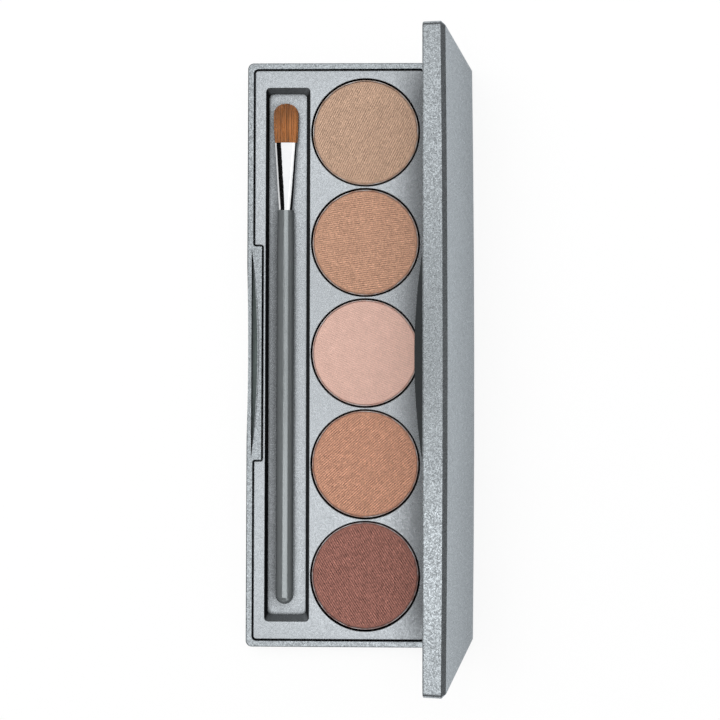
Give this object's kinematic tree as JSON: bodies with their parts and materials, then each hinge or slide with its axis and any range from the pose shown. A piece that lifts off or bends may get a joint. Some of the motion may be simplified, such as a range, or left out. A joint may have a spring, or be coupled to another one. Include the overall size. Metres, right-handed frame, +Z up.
{
  "type": "eyeshadow palette",
  "caption": "Slim hinged makeup palette with a row of round pressed-powder pans, a brush in a trough and a mirrored lid that stands open.",
  "frame": {"origin": "middle of the underside of the base", "axes": "+X along the case towards the handle end of the brush, +Y from the clasp at the front to the hinge at the rear, +Z up"},
  "size_m": [0.143, 0.0561, 0.0538],
  "materials": {
    "case_silver": "metallic silver lacquer with a fine sparkle on moulded plastic",
    "tray_silver": "lighter metallic silver lacquer on moulded plastic",
    "clasp_dark": "smooth dark grey plastic",
    "mirror_glass": "back-silvered glass",
    "glue": "soft glue",
    "hinge_steel": "drawn steel wire",
    "pan_metal": "drawn sheet",
    "handle_grey": "satin grey lacquer",
    "ferrule_chrome": "polished plating",
    "bristle_brown": "fine synthetic hair, golden brown",
    "powder_shade_1": "pressed powder, taupe beige, cloth-pressed",
    "powder_shade_2": "pressed powder, tan brown, cloth-pressed",
    "powder_shade_3": "pressed powder, pale pink, cloth-pressed",
    "powder_shade_4": "pressed powder, warm tan, cloth-pressed",
    "powder_shade_5": "pressed powder, red brown, cloth-pressed"
  },
  "bodies": {
    "base": {"base_shell": "case_silver", "front_catch": "clasp_dark", "insert_tray": "tray_silver", "pan_adhesive": "glue", "hinge_pin_left": "hinge_steel", "hinge_pin_right": "hinge_steel", "pan_1": "pan_metal", "pan_2": "pan_metal", "pan_3": "pan_metal", "pan_4": "pan_metal", "pan_5": "pan_metal", "powder_1": "powder_shade_1", "powder_2": "powder_shade_2", "powder_3": "powder_shade_3", "powder_4": "powder_shade_4", "powder_5": "powder_shade_5"},
    "lid": {"lid_shell": "case_silver", "mirror_frame": "clasp_dark", "mirror": "mirror_glass", "mirror_adhesive": "glue"},
    "brush": {"brush_handle": "handle_grey", "brush_ferrule": "ferrule_chrome", "brush_bristles": "bristle_brown"}
  },
  "joints": [
    {"name": "lid_hinge", "type": "hinge", "parent": "base", "child": "lid", "pos_m": [0, 0.0209, 0.0059], "axis": [-1, 0, 0], "range_deg": [-80, 10]},
    {"name": "brush_lift", "type": "slide", "parent": "base", "child": "brush", "axis": [0, 0, 1], "range_m": [0, 0.002]}
  ]
}
